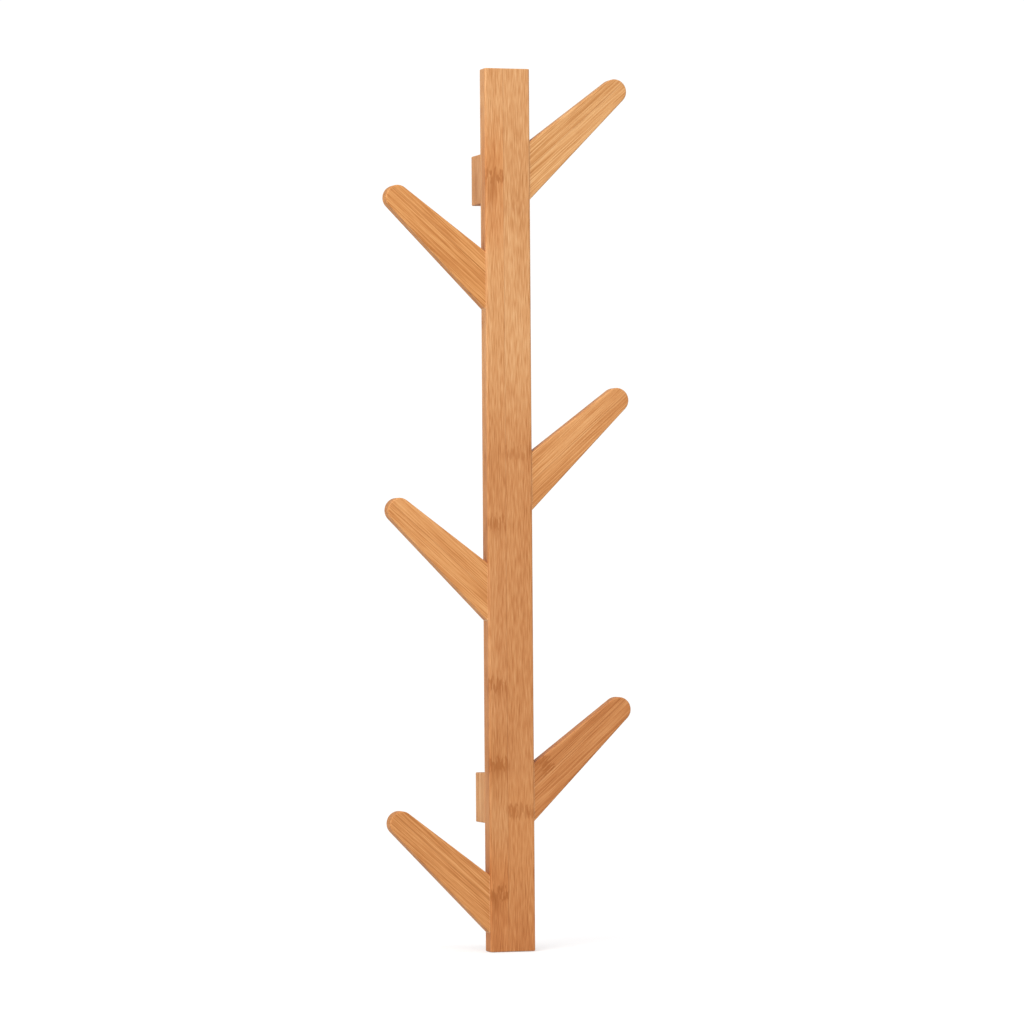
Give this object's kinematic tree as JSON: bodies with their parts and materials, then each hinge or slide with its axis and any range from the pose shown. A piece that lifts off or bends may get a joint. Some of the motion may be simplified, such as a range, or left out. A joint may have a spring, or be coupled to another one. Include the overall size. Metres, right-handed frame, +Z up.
{
  "type": "wall hook rack",
  "caption": "Upright bamboo wall rack: tapered, round-tipped boards reach up and out from both sides of a post as coat hooks, held off the wall by spacer blocks on keyhole hangers.",
  "frame": {"origin": "on the wall plane, midway between the entry holes of the two keyhole hangers", "axes": "+X to the right as a person faces the rack, +Z up along the post, -Y out from the wall towards the person"},
  "size_m": [0.2234, 0.043, 0.78],
  "materials": {
    "bamboo_post": "satin",
    "bamboo_hook": "satin",
    "bamboo_block": "satin",
    "beech_dowel": "matte",
    "zinc_plate": "satin",
    "steel_screw": "satin"
  },
  "bodies": {
    "root": {"post": "bamboo_post", "hook_left_lower": "bamboo_hook", "dowel_left_lower_bottom": "beech_dowel", "dowel_left_lower_top": "beech_dowel", "hook_left_middle": "bamboo_hook", "dowel_left_middle_bottom": "beech_dowel", "dowel_left_middle_top": "beech_dowel", "hook_left_upper": "bamboo_hook", "dowel_left_upper_bottom": "beech_dowel", "dowel_left_upper_top": "beech_dowel", "hook_right_lower": "bamboo_hook", "dowel_right_lower_bottom": "beech_dowel", "dowel_right_lower_top": "beech_dowel", "hook_right_middle": "bamboo_hook", "dowel_right_middle_bottom": "beech_dowel", "dowel_right_middle_top": "beech_dowel", "hook_right_upper": "bamboo_hook", "dowel_right_upper_bottom": "beech_dowel", "dowel_right_upper_top": "beech_dowel", "spacer_block_upper": "bamboo_block", "hanger_plate_upper": "zinc_plate", "block_screw_upper_left": "steel_screw", "block_screw_upper_right": "steel_screw", "hanger_screw_upper_top": "steel_screw", "hanger_screw_upper_bottom": "steel_screw", "spacer_block_lower": "bamboo_block", "hanger_plate_lower": "zinc_plate", "block_screw_lower_left": "steel_screw", "block_screw_lower_right": "steel_screw", "hanger_screw_lower_top": "steel_screw", "hanger_screw_lower_bottom": "steel_screw"}
  },
  "joints": []
}
